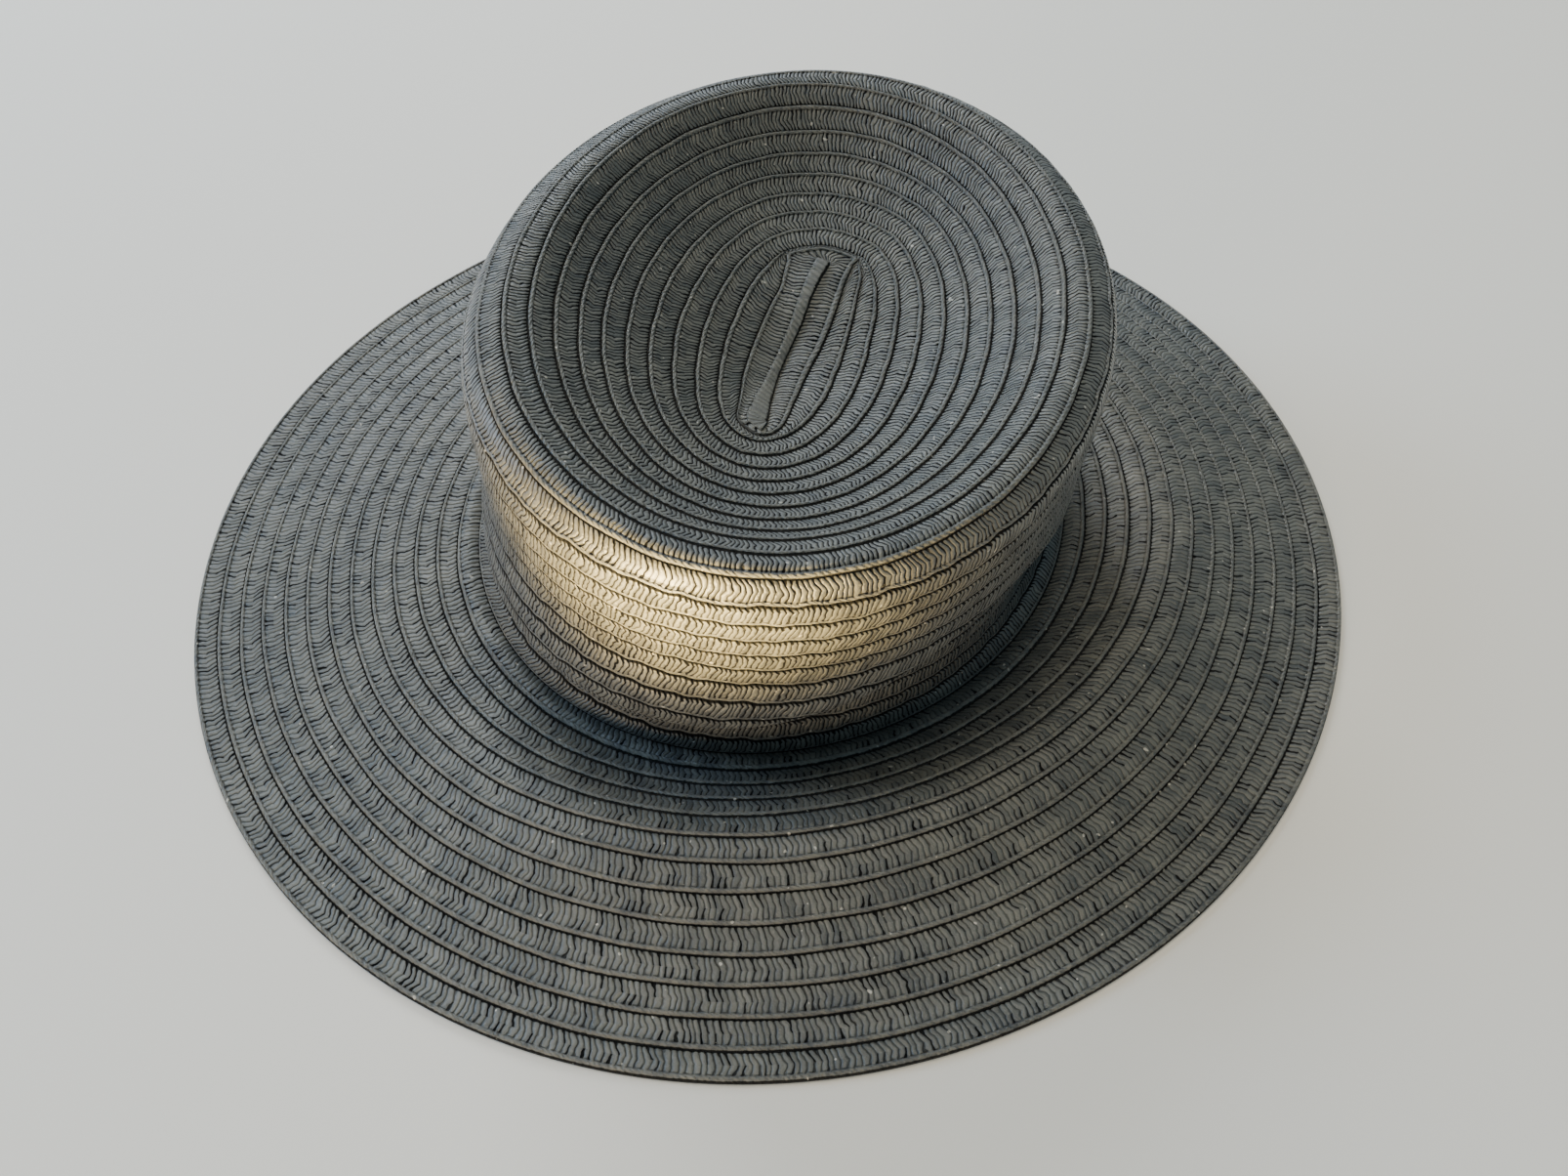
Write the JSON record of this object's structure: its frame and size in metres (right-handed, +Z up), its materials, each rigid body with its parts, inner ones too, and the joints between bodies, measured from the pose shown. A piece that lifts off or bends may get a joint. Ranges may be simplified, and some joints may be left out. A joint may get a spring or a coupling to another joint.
{
  "type": "sun hat",
  "caption": "Wide-brimmed sun hat of sewn straw braid with a sunken oval tip, an upright crown side and a softly waved brim that rests flat at its edge.",
  "frame": {"origin": "on the table under the middle of the brim", "axes": "+Z up through the crown; +Y along the long axis of the crown, the wearer's face on the -Y side; +X to the wearer's left"},
  "size_m": [0.375, 0.3864, 0.1115],
  "materials": {
    "tip_straw": "sewn paper straw braid, charcoal grey, soft sheen",
    "side_straw": "sewn paper straw braid, charcoal grey, soft sheen",
    "brim_straw": "sewn paper straw braid, charcoal grey, soft sheen"
  },
  "bodies": {
    "root": {"crown_tip": "tip_straw", "crown_side": "side_straw", "brim": "brim_straw"}
  },
  "joints": []
}
